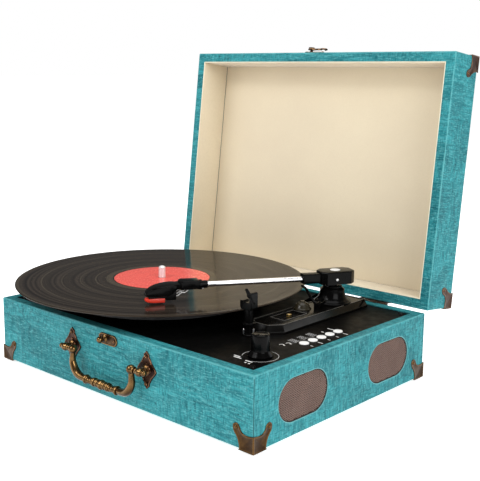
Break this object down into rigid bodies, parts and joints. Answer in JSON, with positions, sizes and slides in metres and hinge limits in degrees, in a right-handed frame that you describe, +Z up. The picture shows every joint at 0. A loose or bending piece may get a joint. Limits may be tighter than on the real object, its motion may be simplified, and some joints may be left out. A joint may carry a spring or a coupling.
{
  "type": "turntable record player",
  "caption": "Portable suitcase record player with hinged lid, side speakers, carrying handle, tonearm, and a long-playing record on its platter.",
  "frame": {"origin": "middle of the sole of the centre foot, which is the middle of the case in plan, on the surface that its feet stand on", "axes": "+X to the right along the front face with the handle, +Y back to the hinges, +Z up"},
  "size_m": [0.3887, 0.3654, 0.3282],
  "materials": {
    "leatherette": "teal grained leatherette over board, worn lighter",
    "fibreboard": "plain fibreboard",
    "rubber": "matt",
    "antique_bronze": "aged bronze, darker in the hollows",
    "black_deck": "fine satin",
    "black_plastic": "semi-gloss",
    "white_plastic": "gloss",
    "chrome": "polished",
    "steel": "plated",
    "brass": "turned",
    "grey_plastic": "moulded",
    "vinyl": "gloss with fine grooves",
    "label_paper": "coral red, varnished",
    "red_plastic": "gloss",
    "lining": "cream cloth-grained paper",
    "grille_cloth": "brown mesh",
    "cone_paper": "black pulp",
    "circuit_board": "green board"
  },
  "bodies": {
    "chassis": {"base_case": "leatherette", "bottom_panel": "fibreboard", "rubber_feet": "rubber", "base_corner_guards": "antique_bronze", "base_guard_nails": "antique_bronze", "corner_blocks": "fibreboard", "top_plate": "black_deck", "plate_screws": "chrome", "spindle": "chrome", "drive_belt": "rubber", "motor_case": "steel", "tonearm_base": "black_plastic", "turret_cone": "black_plastic", "arm_rest": "black_plastic", "potentiometer": "steel", "control_board": "circuit_board", "tact_switches": "circuit_board", "main_board": "circuit_board", "speaker_frames": "steel", "speaker_cones": "cone_paper", "speaker_grilles": "grille_cloth", "jack_panel": "black_plastic", "rear_jacks": "steel", "base_hinge_leaves": "antique_bronze", "hinge_pins": "antique_bronze", "fitting_screws": "antique_bronze", "catch_plate": "antique_bronze", "handle_plates": "antique_bronze", "handle_posts": "antique_bronze"},
    "lid": {"lid_frame": "leatherette", "lid_panel": "leatherette", "lid_lining": "lining", "lid_corner_guards": "antique_bronze", "lid_guard_nails": "antique_bronze", "lid_hinge_leaves": "antique_bronze", "lid_fitting_screws": "antique_bronze", "latch_plate": "antique_bronze"},
    "latch": {"latch_hook": "antique_bronze"},
    "handle": {"handle_bail": "antique_bronze"},
    "platter": {"platter": "grey_plastic", "platter_mat": "rubber", "bearing_bush": "brass", "vinyl_record": "vinyl", "record_label": "label_paper"},
    "motor": {"motor_pulley": "steel"},
    "arm_turret": {"arm_yoke": "black_plastic"},
    "tonearm": {"arm_housing": "black_plastic", "arm_tube": "chrome", "headshell": "black_plastic", "cartridge": "black_plastic", "stylus": "red_plastic"},
    "clip": {"arm_clip": "black_plastic"},
    "cue": {"cue_lever": "black_plastic"},
    "speed": {"speed_lever": "black_plastic"},
    "volume": {"volume_knob": "black_plastic"},
    "source_button": {"source_button": "white_plastic"},
    "previous_button": {"previous_button": "white_plastic"},
    "play_button": {"play_button": "white_plastic"},
    "next_button": {"next_button": "white_plastic"},
    "record_button": {"record_button": "white_plastic"}
  },
  "joints": [
    {"name": "lid_hinge", "type": "hinge", "parent": "chassis", "child": "lid", "pos_m": [0, 0.1303, 0.0664], "axis": [1, 0, 0], "range_deg": [0, 25]},
    {"name": "latch_swing", "type": "hinge", "parent": "lid", "child": "latch", "pos_m": [-0.008, 0.17039, 0.32249], "axis": [0, -0.1153, -0.9933], "range_deg": [0, 90]},
    {"name": "handle_swing", "type": "hinge", "parent": "chassis", "child": "handle", "pos_m": [-0.003, -0.1365, 0.0428], "axis": [-1, 0, 0], "range_deg": [0, 120]},
    {"name": "platter_spin", "type": "hinge", "parent": "chassis", "child": "platter", "pos_m": [-0.0613, -0.007, 0.08], "axis": [0, 0, 1], "continuous": true},
    {"name": "motor_spin", "type": "hinge", "parent": "chassis", "child": "motor", "pos_m": [-0.1264, 0.058, 0.075], "axis": [0, 0, 1], "continuous": true},
    {"name": "arm_swing", "type": "hinge", "parent": "chassis", "child": "arm_turret", "pos_m": [0.098, 0.077, 0.09], "axis": [0, 0, 1], "range_deg": [-17, 27.15]},
    {"name": "arm_lift", "type": "hinge", "parent": "arm_turret", "child": "tonearm", "pos_m": [0.098, 0.077, 0.09975], "axis": [-0.8846, 0.4664, 0], "range_deg": [0, 12]},
    {"name": "arm_clip_turn", "type": "hinge", "parent": "chassis", "child": "clip", "pos_m": [0.1021, -0.0467, 0.1053], "axis": [0, 1, 0], "range_deg": [-33, 0]},
    {"name": "cue_lift", "type": "hinge", "parent": "chassis", "child": "cue", "pos_m": [0.104, 0.047, 0.0782], "axis": [0, 1, 0], "range_deg": [-10, 0]},
    {"name": "speed_select", "type": "slide", "parent": "chassis", "child": "speed", "axis": [0, 1, 0], "range_m": [-0.007, 0.007]},
    {"name": "volume_turn", "type": "hinge", "parent": "chassis", "child": "volume", "pos_m": [0.144, -0.0847, 0.075], "axis": [0, 0, -1], "range_deg": [0, 280]},
    {"name": "source_press", "type": "slide", "parent": "chassis", "child": "source_button", "axis": [0, 0, -1], "range_m": [0, 0.0007], "stiffness_N_per_m": 300},
    {"name": "previous_press", "type": "slide", "parent": "chassis", "child": "previous_button", "axis": [0, 0, -1], "range_m": [0, 0.0007], "stiffness_N_per_m": 300},
    {"name": "play_press", "type": "slide", "parent": "chassis", "child": "play_button", "axis": [0, 0, -1], "range_m": [0, 0.0007], "stiffness_N_per_m": 300},
    {"name": "next_press", "type": "slide", "parent": "chassis", "child": "next_button", "axis": [0, 0, -1], "range_m": [0, 0.0007], "stiffness_N_per_m": 300},
    {"name": "record_press", "type": "slide", "parent": "chassis", "child": "record_button", "axis": [0, 0, -1], "range_m": [0, 0.0007], "stiffness_N_per_m": 300}
  ],
  "couplings": [
    {"joint": "motor_spin", "follows": "platter_spin", "ratio": 17.5}
  ]
}
